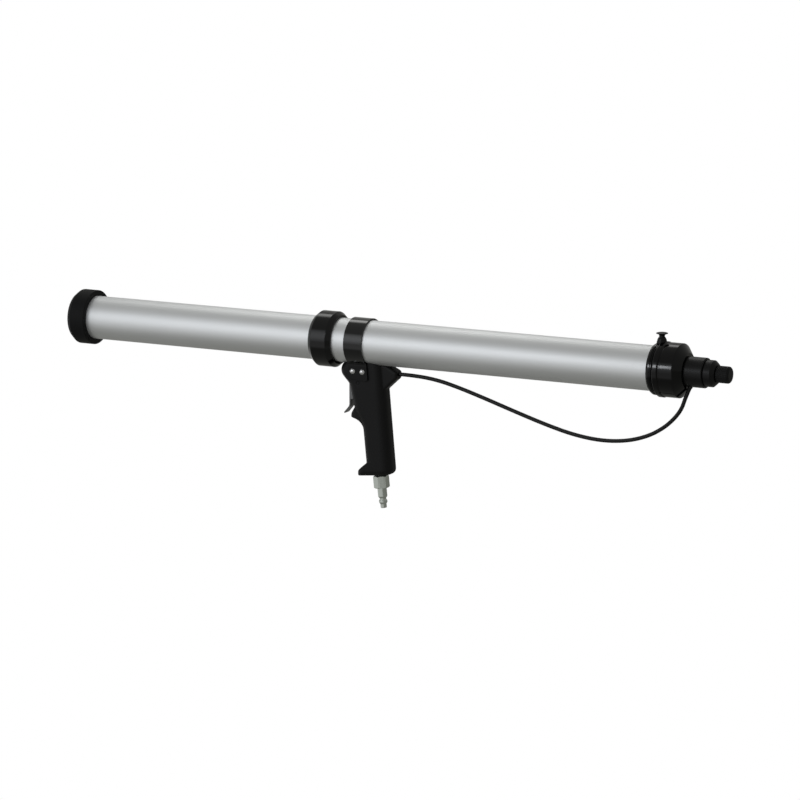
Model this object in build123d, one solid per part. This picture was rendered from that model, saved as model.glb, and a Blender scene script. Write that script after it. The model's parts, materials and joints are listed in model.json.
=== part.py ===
from build123d import *
import os
from math import cos, radians, sin, sqrt, tan

# Pneumatic caulking tool. Millimetres. +X runs forward along the barrel, +Z is up, +Y is the tool's left.
# The origin is the centre of the nozzle opening, in the front face of the front cap.

# Tubes
tube_od = 54.0
tube_wall = 1.5
barrel_length = 349.8
cylinder_length = 445.0

# Fits, all radial
running = 0.05
free_gap = 0.30
seal_gap = 0.06

# Front cap
cap_length = 26.0
cap_lip = 6.0
cap_wall = 7.24
cap_bevel = 6.2
cap_fall = 5.0
nozzle_bore = 40.0

# Coupling between barrel and cylinder
collar_wall = 1.5
collar_length = 10.5
coupling_wall = 7.28
coupling_front_reach = 12.0
coupling_length = 30.2
coupling_bevel = 5.0
flange_thickness = 5.0
guide_length = 29.0
guide_spigot = 4.0

# Drive inside the tubes
rod_d = 14.0
bush_wall = 3.0
wiper_length = 3.0
plunger_length = 13.0
plunger_gap = 9.0
piston_length = 38.0
piston_gap = 5.0
ring_inset = 7.0
stud_d = 10.0
nut_flats = 17.0
nut_height = 8.0
stud_over = 1.0
ring_width = 4.0
ring_depth = 3.0

# Rear cap
rear_overlap = 14.0
rear_cap_length = 42.6
rear_rim_wall = 4.2
rear_collar_wall = 6.2
rear_drum_wall = 5.5
rear_face_d = 43.0
spigot_length = 23.0
bleed_setback = 8.2
bleed_thread_d = 8.2
bleed_stem_d = 7.0
bleed_boss_d = 12.6
bleed_rise = 3.4
bleed_depth = 10.4
bleed_pocket = 3.4
bleed_flange = 2.0
bush_height = 7.6

# Regulator on the rear cap
regulator_d = 36.0
regulator_length = 23.2
bonnet_d = 31.8
bonnet_length = 13.2
knob_d = 20.2
knob_length = 16.4
knob_flutes = 24
thread_spigot = 12.0
adjuster_d = 6.0

# Clamp strap
strap_gap = 17.9
strap_width = 24.4
strap_thickness = 2.4
strap_bend = 4.0
bolt_d = 4.0
bolt_head_d = 7.2
bolt_drop = 7.3

# Handle
handle_width = 28.4
handle_round = 12.0
handle_drop = 136.3
inlet_rake = 5.7
inlet_setback = 24.3
slot_width = 13.2
nose_reach = 49.9
lip_reach = 4.4
sole_round = 7.0
nose_half = 8.4
hook_half = 10.4
hook_round = 9.0
plan_depth = 60.0

# Trigger and its valve
trigger_width = 12.0
trigger_sheet = 1.5
pivot_d = 3.5
pivot_forward = 0.0
pivot_drop = 22.5
valve_drop = 39.0
valve_d = 14.0
valve_length = 18.5
stem_d = 4.0

# Air plug and hose
plug_flats = 15.0
plug_hex_height = 13.4
plug_thread_d = 12.0
washer_thickness = 1.4
hose_d = 4.0
hose_bore = 2.5
outlet_drop = 9.2
port_tilt = 20.0
port_turn = 12.0

# Values that follow from those above
tube_r = tube_od / 2
bore_r = tube_r - tube_wall
rod_r = rod_d / 2
barrel_front = -cap_lip - 0.2
barrel_rear = barrel_front - barrel_length
flange_rear = barrel_rear - flange_thickness
guide_rear = flange_rear - guide_length
guide_front = barrel_rear + guide_spigot
bush_r = rod_r + running + bush_wall
cylinder_rear = flange_rear - cylinder_length
coupling_front = barrel_rear + coupling_front_reach
coupling_rear = coupling_front - coupling_length
strap_x = coupling_rear - strap_gap - strap_width / 2
rear_front = cylinder_rear + rear_overlap
rear_end = rear_front - rear_cap_length
spigot_face = cylinder_rear + spigot_length
plunger_front = guide_front + plunger_gap + plunger_length
piston_front = spigot_face + piston_gap + stud_over + nut_height + piston_length
piston_rear = piston_front - piston_length
bleed_x = rear_front - bleed_setback
bleed_seat = tube_r + bleed_rise
bleed_foot = bleed_seat - bleed_depth
regulator_rear = rear_end - regulator_length
bonnet_rear = regulator_rear - 0.3 - bonnet_length
knob_rear = bonnet_rear - 0.3 - knob_length
half_width = handle_width / 2
nose_tip = strap_x - nose_reach
valve_rear = strap_x - 29.3
outlet_x = strap_x - 12.2
trigger_face = strap_x + 15.8
pivot_x = strap_x + pivot_forward
pivot_z = -tube_r - pivot_drop
valve_z = -tube_r - valve_drop
outlet_z = -tube_r - outlet_drop


def face_inside(points, corner=None):
    """Face inside an outline in x and z, with its corners rounded where radii are given."""
    if corner is None:
        line = Polyline(*points, close=True)
    else:
        line = FilletPolyline(*points, radius=corner, close=True)
    return make_face(Plane.XZ * line)


def turned(points, corner=None):
    """Solid turned about the barrel axis from an outline of station and radius."""
    return revolve(face_inside(points, corner), Axis.X)


def upright(points, x, corner=None):
    """Solid turned about a vertical axis at station x from an outline of radius and height."""
    return Pos(x, 0, 0) * revolve(face_inside(points, corner), Axis.Z)


def rod_x(front, rear, radius):
    """Plain cylinder along the barrel axis."""
    return Pos((front + rear) / 2, 0, 0) * Rot(0, 90, 0) * Cylinder(radius, front - rear)


def bar_y(x, z, radius, left, right):
    """Plain cylinder across the tool, from side to side."""
    return Pos(x, (left + right) / 2, z) * Rot(90, 0, 0) * Cylinder(radius, left - right)


def slab(points, half, corner=None):
    """Side outline in x and z, extruded to both sides of the middle plane."""
    return extrude(face_inside(points, corner), half, both=True)


def o_ring(station, outer, section):
    """Round sealing ring about the barrel axis."""
    return Pos(station, 0, 0) * Rot(0, 90, 0) * Torus(outer - section / 2, section / 2)


def coil(radius, wire, length, turns):
    """Open helical spring along +Z from its lower end, its round wire drawn with six sides."""
    path = Helix(pitch=(length - wire) / turns, height=length - wire, radius=radius)
    section = Plane(origin=path @ 0, z_dir=path % 0) * RegularPolygon(wire / 2, 6)
    return Pos(0, 0, wire / 2) * sweep(section, path=path, is_frenet=True)


def front_cap():
    """Screw ring with a bevelled face and the nozzle opening."""
    outer = tube_r + cap_wall
    inner = tube_r + running
    outline = [
        (0, nozzle_bore / 2),
        (0, outer - cap_fall),
        (-cap_bevel, outer),
        (-cap_length, outer),
        (-cap_length, inner),
        (-cap_lip, inner),
        (-cap_lip, nozzle_bore / 2),
    ]
    return turned(outline, [0, 0.8, 1.0, 0.8, 0.4, 0, 0])


def front_barrel():
    return rod_x(barrel_front, barrel_rear, tube_r) - rod_x(barrel_front, barrel_rear, bore_r)


def barrel_collar():
    """Threaded collar fixed on the rear end of the barrel."""
    front = barrel_rear + collar_length
    inner = tube_r + running
    outer = tube_r + collar_wall
    outline = [
        (front, inner),
        (front, outer - 0.6),
        (front - 0.6, outer),
        (barrel_rear, outer),
        (barrel_rear, inner),
    ]
    return turned(outline)


def coupling_ring():
    """Union ring that screws onto the barrel collar and draws the guide head against the barrel."""
    outer = tube_r + coupling_wall
    thread = tube_r + collar_wall + running
    shoulder = flange_rear - free_gap
    lip = tube_r + free_gap
    outline = [
        (coupling_front, thread),
        (coupling_front, tube_r + 3.4),
        (coupling_front - coupling_bevel, outer),
        (coupling_rear + coupling_bevel + 0.15, outer),
        (coupling_rear, tube_r + 3.0),
        (coupling_rear, lip),
        (shoulder, lip),
        (shoulder, thread),
    ]
    return turned(outline, [0.3, 0.6, 0.8, 0.8, 0.6, 0.5, 0, 0])


def guide_head():
    """Bulkhead between the tubes: flange in the coupling, spigots into both tubes, vents, bush bore."""
    spigot = bore_r - 0.05
    groove = flange_rear - 9.0
    outline = [
        (guide_front, bush_r),
        (guide_front, spigot - 0.8),
        (guide_front - 0.8, spigot),
        (barrel_rear, spigot),
        (barrel_rear, tube_r + collar_wall + running - free_gap),
        (flange_rear, tube_r + collar_wall + running - free_gap),
        (flange_rear, spigot),
        (groove + 1.6, spigot),
        (groove + 1.6, spigot - 2.6),
        (groove - 1.6, spigot - 2.6),
        (groove - 1.6, spigot),
        (guide_rear + 0.8, spigot),
        (guide_rear, spigot - 0.8),
        (guide_rear, bush_r),
    ]
    head = turned(outline)
    vent = rod_x(guide_front + 1, guide_rear - 1, 2.0)
    for k in range(3):
        head -= Rot(120 * k, 0, 0) * Pos(0, 0, (bush_r + spigot) / 2) * vent
    return head


def guide_head_seal():
    return o_ring(flange_rear - 9.0, bore_r - 0.02, 2.5)


def rod_bush():
    front = guide_front - wiper_length
    return rod_x(front, guide_rear, bush_r) - rod_x(front, guide_rear, rod_r + running)


def rod_wiper():
    inner = rod_r + seal_gap
    rear = guide_front - wiper_length
    outline = [
        (guide_front, inner + 0.8),
        (guide_front, bush_r),
        (rear, bush_r),
        (rear, inner + 0.8),
        (rear + 1.0, inner),
        (guide_front - 1.0, inner),
    ]
    return turned(outline)


def drive_rod():
    """Push rod with a tapped front end and a stud for the piston."""
    front = plunger_front - 8.0
    stud_end = piston_rear - nut_height - stud_over
    rod = rod_x(front, piston_front, rod_r) + rod_x(piston_front, stud_end, stud_d / 2)
    return rod - rod_x(front, front - 16.0, 3.0)


def drive_piston():
    outer = bore_r - free_gap
    front = piston_front
    rear = piston_rear
    outline = [(front, stud_d / 2), (front, outer - 1), (front - 1, outer)]
    for centre in piston_ring_stations():
        outline.append((centre + ring_width / 2, outer))
        outline.append((centre + ring_width / 2, outer - ring_depth))
        outline.append((centre - ring_width / 2, outer - ring_depth))
        outline.append((centre - ring_width / 2, outer))
    outline += [(rear + 1, outer), (rear, outer - 1), (rear, stud_d / 2)]
    return turned(outline)


def piston_ring_stations():
    return [piston_front - ring_inset, piston_rear + ring_inset]


def lip_ring(station, bottom):
    """Sealing ring of a groove, with bevelled lips that reach the bore."""
    top = bore_r - seal_gap
    front = station + ring_width / 2
    rear = station - ring_width / 2
    outline = [
        (front, bottom),
        (front, top - 0.9),
        (front - 0.9, top),
        (rear + 0.9, top),
        (rear, top - 0.9),
        (rear, bottom),
    ]
    return turned(outline)


def piston_seals():
    bottom = bore_r - free_gap - ring_depth
    return Compound([lip_ring(station, bottom) for station in piston_ring_stations()])


def piston_nut():
    rear = piston_rear - nut_height
    face = Plane(origin=(rear, 0, 0), x_dir=(0, 1, 0), z_dir=(1, 0, 0))
    hexagon = RegularPolygon(nut_flats / sqrt(3), 6) - Circle(stud_d / 2)
    return extrude(face * hexagon, nut_height)


def plunger():
    """Pusher plate with a groove for the wiper, a socket for the rod and a countersunk hole."""
    outer = bore_r - 0.6
    front = plunger_front
    rear = front - plunger_length
    ring = front - 6.0
    rod_seat = front - 8.0
    outline = [
        (front - 3.0, 3.0),
        (front, 6.0),
        (front, outer - 2.0),
        (front - 2.0, outer),
        (ring + ring_width / 2, outer),
        (ring + ring_width / 2, outer - ring_depth),
        (ring - ring_width / 2, outer - ring_depth),
        (ring - ring_width / 2, outer),
        (rear + 3.0, outer),
        (rear + 3.0, rod_r + 4.0),
        (rear, rod_r + 3.0),
        (rear, rod_r),
        (rod_seat, rod_r),
        (rod_seat, 3.0),
    ]
    return turned(outline)


def plunger_wiper():
    return lip_ring(plunger_front - 6.0, bore_r - 0.6 - ring_depth)


def plunger_screw():
    """Countersunk screw from the plunger's face into the rod."""
    front = plunger_front
    return turned([(front, 0), (front, 6.0), (front - 3.0, 3.0), (front - 23.0, 3.0), (front - 23.0, 0)])


def rear_cylinder():
    tube = rod_x(flange_rear, cylinder_rear, tube_r) - rod_x(flange_rear, cylinder_rear, bore_r)
    return tube - Pos(bleed_x, 0, tube_r) * Cylinder(bleed_thread_d / 2, 10)


def rear_cap():
    """End cap: rim, ring and drum with grooves between them, cone, slot, spigot and air ways."""
    rim = tube_r + rear_rim_wall
    collar = tube_r + rear_collar_wall
    drum = tube_r + rear_drum_wall
    face = rear_face_d / 2
    slot_in = bore_r - 0.05
    thread = 9.0
    groove_1 = rear_front - 5.4
    groove_2 = rear_front - 16.1
    seal = spigot_face - 5.5
    air_r = 4.2
    outline = [
        (spigot_face, air_r),
        (spigot_face, slot_in - 1.0),
        (spigot_face - 1.0, slot_in),
        (seal + 1.6, slot_in),
        (seal + 1.6, slot_in - 2.6),
        (seal - 1.6, slot_in - 2.6),
        (seal - 1.6, slot_in),
        (cylinder_rear, slot_in),
        (cylinder_rear, tube_r),
        (rear_front, tube_r),
        (rear_front, tube_r + 2.6),
        (rear_front - 2.6, rim),
        (groove_1, rim),
        (groove_1, rim - 0.8),
        (groove_1 - 1.2, rim - 0.8),
        (groove_1 - 4.5, collar),
        (groove_2 + 1.3, collar),
        (groove_2, drum - 0.9),
        (groove_2 - 1.6, drum - 0.9),
        (groove_2 - 1.6, drum),
        (rear_end + 8.2, drum),
        (rear_end, face),
        (rear_end, thread),
        (rear_end + thread_spigot, thread),
        (rear_end + thread_spigot, 0),
        (bleed_x - 5.0, 0),
        (bleed_x - 5.0, air_r),
    ]
    corners = [0] * len(outline)
    corners[10:22] = [0.6, 1.2, 0.3, 0, 0, 0.8, 0.5, 0, 0, 0.5, 1.5, 0.8]
    cap = turned(outline, corners)
    cap -= Pos(bleed_x, 0, bleed_seat + 15) * Cylinder(bleed_boss_d / 2 + running, 30)
    cap -= Pos(bleed_x, 0, bleed_foot + 15) * Cylinder(bleed_thread_d / 2, 30)
    cap -= Pos(bleed_x, 0, bleed_foot / 2 + 1.0) * Cylinder(3.2, bleed_foot)
    air_way = Rot(0, 90, 0) * Cylinder(2.0, spigot_face - rear_end + 2)
    return cap - Pos((spigot_face + rear_end) / 2, 12.5, 0) * air_way


def rear_seal():
    return o_ring(spigot_face - 5.5, bore_r - 0.02, 2.5)


def release(points, corner=None):
    """Piece of the air release, from an outline of radius and height above the bush's seat."""
    return upright([(radius, bleed_seat + height) for radius, height in points], bleed_x, corner)


def bleed_bush():
    """Threaded bush of the air release, with a flared boss that stands in the cap's counterbore."""
    boss = bleed_boss_d / 2
    thread = bleed_thread_d / 2
    bore = bleed_stem_d / 2 + running
    outline = [
        (1.4, -bleed_pocket),
        (2.75, -bleed_pocket),
        (2.75, 2.2),
        (bore, 2.2),
        (bore, bush_height),
        (bore + 0.55, bush_height),
        (boss - 1.2, bush_height - 1.6),
        (boss, 1.8),
        (boss, 0),
        (thread, 0),
        (thread, -bleed_depth),
        (3.0, -bleed_depth),
        (3.0, 3.0 - bleed_depth),
        (1.4, 3.0 - bleed_depth),
    ]
    return release(outline, [0, 0, 0, 0, 0, 0.3, 3.0, 2.0, 0, 0, 0.4, 0, 0, 0])


def bleed_button():
    """Mushroom button with its stem and poppet."""
    stem = bleed_stem_d / 2
    outline = [
        (0, 13.5),
        (5.6, 13.2),
        (7.2, 12.6),
        (6.9, 11.9),
        (4.2, 11.0),
        (stem, 10.0),
        (stem, 4.6),
        (1.3, 4.6),
        (1.3, bleed_flange - bleed_depth),
        (2.6, bleed_flange - bleed_depth),
        (2.6, 0.2 - bleed_depth),
        (0, 0.2 - bleed_depth),
    ]
    return release(outline, [0, 2.0, 0.3, 0.3, 1.2, 0.3, 0.3, 0, 0, 0, 0, 0])


def bleed_seal():
    low = bleed_flange - bleed_depth
    return release([(1.3, low), (2.5, low), (2.5, low + 0.9), (1.3, low + 0.9)])


def bleed_spring():
    return Pos(bleed_x, 0, bleed_seat - bleed_pocket) * coil(2.05, 0.6, 8.0, 5)


def port_axis():
    """Plane on the regulator's underside: z runs along the hose port, outward."""
    reach = regulator_d / 2 + 1.2
    turn = radians(port_turn)
    tilt = radians(port_tilt)
    face = (rear_end - 3.4, reach * sin(turn), -reach * cos(turn))
    way = (sin(tilt), cos(tilt) * sin(turn), -cos(tilt) * cos(turn))
    return Plane(origin=face, x_dir=(0, cos(turn), sin(turn)), z_dir=way)


def regulator_body():
    """Stepped body with a threaded spigot, poppet seat, piston chamber and tilted hose port."""
    outer = regulator_d / 2
    spigot_end = rear_end + thread_spigot
    outline = [
        (spigot_end, 0),
        (spigot_end, 8.4),
        (spigot_end - 0.6, 9.0),
        (rear_end, 9.0),
        (rear_end, outer),
        (regulator_rear, outer),
        (regulator_rear, 14.0),
        (rear_end - 11.4, 14.0),
        (rear_end - 11.4, 2.6),
        (rear_end - 7.6, 2.6),
        (rear_end - 7.6, 6.0),
        (rear_end - 1.6, 6.0),
        (rear_end - 1.6, 0),
    ]
    body = turned(outline, [0, 0, 0, 0, 0.5, 1.2, 0.3, 0, 0, 0, 0, 0, 0])
    body -= port_axis() * Pos(0, 0, -5) * Cylinder(2.9, 10)
    body -= port_axis() * Pos(0, 0, -8) * Cylinder(1.4, 16)
    air_way = Pos(rear_end - 6, 12.5, 0) * Rot(0, 90, 0) * Cylinder(1.3, 14)
    return body - air_way


def regulator_poppet():
    """Valve head in the inlet chamber, its stem reaches the sensing piston."""
    head = rear_end - 4.4
    stem_end = rear_end - 13.2
    outline = [
        (head, 0),
        (head, 3.4),
        (head - 0.8, 4.2),
        (rear_end - 7.5, 4.2),
        (rear_end - 7.5, 1.5),
        (stem_end, 1.5),
        (stem_end, 0),
    ]
    return turned(outline)


def regulator_piston():
    """Sensing piston with a ring groove, pushed forward by the regulator spring."""
    front = rear_end - 13.4
    rear = front - 4.4
    outer = 14.0 - running
    middle = (front + rear) / 2
    outline = [
        (front, 0),
        (front, outer),
        (middle + 1.1, outer),
        (middle + 1.1, outer - 1.9),
        (middle - 1.1, outer - 1.9),
        (middle - 1.1, outer),
        (rear, outer),
        (rear, 5.2),
        (rear - 2.0, 5.0),
        (rear - 2.0, 0),
    ]
    return turned(outline)


def regulator_seal():
    return o_ring(rear_end - 13.4 - 2.2, 14.0 - seal_gap, 1.8)


def regulator_bonnet():
    """Screwed cap of the regulator: spigot into the body, spring chamber, conical rear end."""
    outer = bonnet_d / 2
    front = regulator_rear - 0.3
    spigot = regulator_rear + 4.8
    outline = [
        (spigot, 11.0),
        (spigot, 13.98),
        (regulator_rear - 0.3, 13.98),
        (front, outer),
        (bonnet_rear + 4.3, outer),
        (bonnet_rear, 12.0),
        (bonnet_rear, adjuster_d / 2 + running),
        (bonnet_rear + 4.0, adjuster_d / 2 + running),
        (bonnet_rear + 4.0, 11.0),
    ]
    return turned(outline, [0, 0, 0, 0.8, 0.8, 0.5, 0, 0, 0])


def regulator_knob():
    """Hand knob with shallow flutes, fixed on the adjusting screw."""
    front = bonnet_rear - 0.3
    outer = knob_d / 2
    outline = [
        (front, adjuster_d / 2),
        (front, outer),
        (knob_rear, outer),
        (knob_rear, 0),
        (knob_rear + 4.2, 0),
        (knob_rear + 4.2, adjuster_d / 2),
    ]
    knob = turned(outline, [0, 0.7, 3.2, 0, 0, 0])
    flute = rod_x(front - 1.6, knob_rear + 3.6, 0.6)
    for k in range(knob_flutes):
        knob -= Rot(360 / knob_flutes * (k + 0.5), 0, 0) * Pos(0, 0, outer + 0.25) * flute
    return knob


def adjusting_screw():
    """Screw turned by the knob, held endwise by a shoulder behind the bonnet's rear wall."""
    front = bonnet_rear + 13.0
    radius = adjuster_d / 2
    shoulder = bonnet_rear + 4.0 + 0.3
    outline = [
        (knob_rear + 4.2, 0),
        (knob_rear + 4.2, radius),
        (shoulder, radius),
        (shoulder, radius + 2.0),
        (shoulder + 1.4, radius + 2.0),
        (shoulder + 1.4, radius - 0.4),
        (front, radius - 0.4),
        (front, 0),
    ]
    return turned(outline)


def spring_nut_front():
    return bonnet_rear + 10.0


def spring_nut():
    """Nut that the adjusting screw drives forward against the spring."""
    front = spring_nut_front()
    bore = adjuster_d / 2 - 0.4 + running
    return turned([(front, bore), (front, 10.4), (front - 3.6, 10.4), (front - 3.6, bore)])


def regulator_spring():
    rear = spring_nut_front()
    length = (rear_end - 13.4 - 4.4) - rear
    return Pos(rear, 0, 0) * Rot(0, 90, 0) * coil(8.2, 1.4, length, 3)


def handle_point(forward, drop):
    """Station and height of a handle point, from the strap's middle and the tube's underside."""
    return (strap_x + forward, -tube_r - drop)


def rear_edge(drop):
    """Rear edge of the grip at a drop below the tube, leaning back towards the bottom."""
    return handle_point(-31.3 - 0.0903 * drop, drop)


def sole_point(forward, rise=0.0):
    """Point on the sole, which lies square to the air plug, or a rise above it."""
    return handle_point(forward, handle_drop + (forward + inlet_setback) * tan(radians(inlet_rake)) - rise)


def grip_core():
    """Neck and grip: side outline with deep rounding along the sides, closed by the sloping bottom."""
    deep = 160
    front = [
        handle_point(17.2, -12.0),
        handle_point(30.2, 9.8),
        handle_point(15.2, 26.0),
        handle_point(8.6, 56.0),
        handle_point(-2.7, 76.0),
        handle_point(-11.1, deep),
    ]
    corners = [0, handle_round + 0.5, 10.0, 30.0, 20.0, 0, 0, 0]
    block = slab(front + [rear_edge(deep), rear_edge(-12.0)], half_width, corners)
    along = [
        edge
        for edge in block.edges()
        if abs(abs(edge.center().Y) - half_width) < 0.01
        and -tube_r - deep + 0.5 < edge.center().Z < -tube_r + 11.5
    ]
    block = fillet(along, handle_round)
    sole = [handle_point(45.0, -30.0), sole_point(45.0), sole_point(-90.0), handle_point(-90.0, -30.0)]
    block &= slab(sole, half_width + 5)
    bottom = block.faces().sort_by(Axis.Z)[0]
    return fillet(bottom.edges(), sole_round)


def rear_nose():
    """Wedge at the back of the neck that carries the hose connector."""
    points = [
        handle_point(-24.0, 30.5),
        handle_point(-32.8, 29.8),
        handle_point(-nose_reach, 14.0),
        handle_point(-nose_reach, 6.0),
        handle_point(-28.0, -5.2),
        handle_point(-24.0, -5.2),
    ]
    nose = slab(points, nose_half, [0, 6.0, 3.2, 3.2, 0, 0])
    sides = [
        edge
        for edge in nose.edges()
        if abs(abs(edge.center().Y) - nose_half) < 0.01 and edge.center().X < strap_x - 26
    ]
    return fillet(sides, 2.9)


def finger_hook():
    """Beak under the trigger that keeps the hand in place."""
    tip_low = handle_point(13.3, 67.4)
    heel = handle_point(-5.6, 80.0)
    line = Polyline(
        heel,
        handle_point(-12.0, 80.0),
        handle_point(-12.0, 54.0),
        handle_point(7.2, 54.0),
        handle_point(13.9, 63.4),
        handle_point(14.7, 65.0),
        handle_point(14.6, 66.7),
        tip_low,
    )
    arc = ThreePointArc(tip_low, handle_point(-0.2, 71.4), heel)
    body = extrude(make_face(Plane.XZ * Curve([line, arc])), hook_half, both=True)
    block = extrude(RectangleRounded(2 * plan_depth, 2 * hook_half, hook_round), 300, both=True)
    return body & Pos(strap_x + 14.5 - plan_depth, 0, 0) * block


def sole_lip():
    """Lip at the front of the sole that stops the hand from slipping down."""
    points = [
        sole_point(-13.0, 18.0),
        sole_point(lip_reach, 5.6),
        sole_point(lip_reach),
        sole_point(-24.0),
        sole_point(-24.0, 18.0),
    ]
    body = slab(points, half_width + 2, [0, 4.0, 3.0, 0, 0])
    block = extrude(RectangleRounded(2 * plan_depth, 2 * half_width, handle_round), 300, both=True)
    body &= Pos(strap_x + lip_reach + 0.1 - plan_depth, 0, 0) * block
    return body & sole_trim()


def sole_trim():
    """Outline across the sole that rounds off the long edges of the lip."""
    side = half_width + 0.05
    low = -0.02
    points = [(-side, 60), (side, 60), (side, low), (-side, low)]
    line = FilletPolyline(*points, radius=[0, 0, sole_round, sole_round], close=True)
    foot = sole_point(-inlet_setback)
    lean = radians(inlet_rake)
    across = Plane(origin=(foot[0], 0, foot[1]), x_dir=(0, 1, 0), z_dir=(cos(lean), 0, -sin(lean)))
    return extrude(across * make_face(line), 90, both=True)


def inlet_axis():
    """Plane on the sole: z runs down along the air plug, leaning back with the grip."""
    lean = radians(inlet_rake)
    face = sole_point(-inlet_setback)
    return Plane(origin=(face[0], 0, face[1]), x_dir=(0, 1, 0), z_dir=(-sin(lean), 0, -cos(lean)))


def trigger_slot():
    """Space for the trigger: closed at the top inside the nose, open to the front below it."""
    points = [
        (17.6, 16.4),
        (-5.6, 16.4),
        (-5.6, 30.0),
        (4.6, 36.0),
        (4.6, 52.6),
        (9.0, 57.6),
        (14.6, 62.6),
        (32.0, 62.6),
        (32.0, 27.0),
        (17.6, 24.6),
    ]
    corners = [1.5, 2.0, 2.0, 2.0, 2.0, 0, 0, 0, 0, 0]
    return slab([handle_point(f, d) for f, d in points], slot_width / 2, corners)


def handle():
    """One-piece moulded handle with saddle, trigger slot, valve bore and air ways."""
    body = grip_core() + rear_nose() + finger_hook() + sole_lip()
    body -= rod_x(strap_x + 60, strap_x - 80, tube_r)
    body -= trigger_slot()
    body -= Pos(0, 0, valve_z) * rod_x(strap_x + 6.0, valve_rear, valve_d / 2)
    body -= bar_y(pivot_x, pivot_z, pivot_d / 2, half_width + 1, -half_width - 1)
    for x in bolt_stations():
        body -= bar_y(x, bolt_z(), bolt_d / 2, half_width + 1, -half_width - 1)
    sole = inlet_axis()
    body -= sole * Pos(0, 0, -6.5) * Cylinder(plug_thread_d / 2, 13)
    body -= sole * Pos(0, 0, -50) * Cylinder(3.5, 100)
    rise = outlet_z - valve_z
    body -= Pos(outlet_x, 0, valve_z + rise / 2) * Cylinder(1.5, rise)
    body -= Pos(0, 0, outlet_z) * rod_x(outlet_x + 1.4, nose_tip - 3, 1.4)
    body -= Pos(0, 0, outlet_z) * rod_x(nose_tip + 8.0, nose_tip - 3, 2.5)
    return body


def bolt_stations():
    return [strap_x + 5.6, strap_x - 7.4]


def bolt_z():
    return -tube_r - bolt_drop


def strap_band():
    """Band round the cylinder whose ears run down both sides of the handle."""
    outer = tube_r + strap_thickness
    ring = rod_x(strap_width / 2, -strap_width / 2, outer) - rod_x(strap_width, -strap_width, tube_r)
    ring = Pos(strap_x, 0, 0) * ring
    under = -tube_r + 5.2
    ring -= Pos(strap_x, 0, under - 20) * Box(60, handle_width, 40)
    half = strap_width / 2
    ear_points = [
        handle_point(half, -7.0),
        handle_point(half, 17.4),
        handle_point(-half - 2.8, 19.2),
        handle_point(-half - 1.2, 4.0),
        handle_point(-half, -7.0),
    ]
    line = FilletPolyline(*ear_points, radius=[0, 3.5, 3.5, 2.0, 0], close=True)
    face = make_face(Plane.XZ * line)
    ear = extrude(face, strap_thickness, dir=(0, 1, 0))
    left = Pos(0, half_width, 0) * ear
    right = Pos(0, -half_width - strap_thickness, 0) * ear
    band = ring + left + right
    band -= rod_x(strap_x + 60, strap_x - 60, tube_r)
    bends = [
        edge
        for edge in band.edges()
        if abs(abs(edge.center().Y) - half_width - strap_thickness) < 0.01
        and edge.length > strap_width - 0.1
        and edge.center().Z > -tube_r - 2
    ]
    band = fillet(bends, strap_bend)
    for x in bolt_stations():
        band -= bar_y(x, bolt_z(), bolt_d / 2, half_width + 9, -half_width - 9)
    return band


def dome_bolt(x):
    """Dome-headed bolt across the handle neck, head on the left side."""
    under_head = half_width + strap_thickness
    end = -half_width - strap_thickness - 5.0
    radius = bolt_head_d / 2
    shank = bolt_d / 2
    rim = 0.8
    dome = 2.1
    ball = (radius**2 + dome**2) / (2 * dome)
    middle = (ball * sin(radians(29)), rim + dome - ball + ball * cos(radians(29)))
    tail = end - under_head
    top = (0, rim + dome)
    line = Polyline(top, (0, tail), (shank, tail), (shank, 0), (radius, 0), (radius, rim))
    arc = ThreePointArc((radius, rim), middle, top)
    bolt = revolve(make_face(Plane.XY * Curve([line, arc])), Axis.Y)
    return Pos(x, under_head, bolt_z()) * bolt


def strap_bolts():
    return Compound([dome_bolt(x) for x in bolt_stations()])


def strap_nuts():
    side = -half_width - strap_thickness
    nuts = []
    for x in bolt_stations():
        face = Plane(origin=(x, side, bolt_z()), x_dir=(1, 0, 0), z_dir=(0, -1, 0))
        nuts.append(extrude(face * (RegularPolygon(7.0 / sqrt(3), 6) - Circle(bolt_d / 2)), 3.2))
    return Compound(nuts)


def trigger():
    """Bent sheet lever: channel with side cheeks round the pivot, lower tail kicked forward."""
    half = trigger_width / 2
    front = trigger_face
    top = -tube_r - 18.4
    knee = (front, -tube_r - 52.8)
    tip = handle_point(23.4, 61.8)
    path = FilletPolyline((front, top), knee, tip, radius=6.0)
    skin = offset(path, trigger_sheet, side=Side.RIGHT)
    web = extrude(make_face(Plane.XZ * skin), half, both=True)
    pivot = (pivot_x, pivot_z)
    cheek_line = FilletPolyline(
        (front - 0.2, top),
        (pivot_x - 4.2, pivot_z + 4.1),
        (pivot_x - 4.2, pivot_z - 4.4),
        (front - 6.2, -tube_r - 31.0),
        (front - 6.2, -tube_r - 44.0),
        (front - 0.2, -tube_r - 45.0),
        radius=[0.01, 4.0, 4.0, 4.0, 2.5, 0.01],
        close=True,
    )
    cheek = extrude(make_face(Plane.XZ * cheek_line), trigger_sheet, dir=(0, 1, 0))
    left = Pos(0, half - trigger_sheet, 0) * cheek
    right = Pos(0, -half, 0) * cheek
    lever = web + left + right
    return lever - bar_y(pivot[0], pivot[1], pivot_d / 2 + running, half + 1, -half - 1)


def trigger_pin():
    return bar_y(pivot_x, pivot_z, pivot_d / 2, half_width - 0.2, -half_width + 0.2)


def valve_front():
    return strap_x + 4.2


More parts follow.
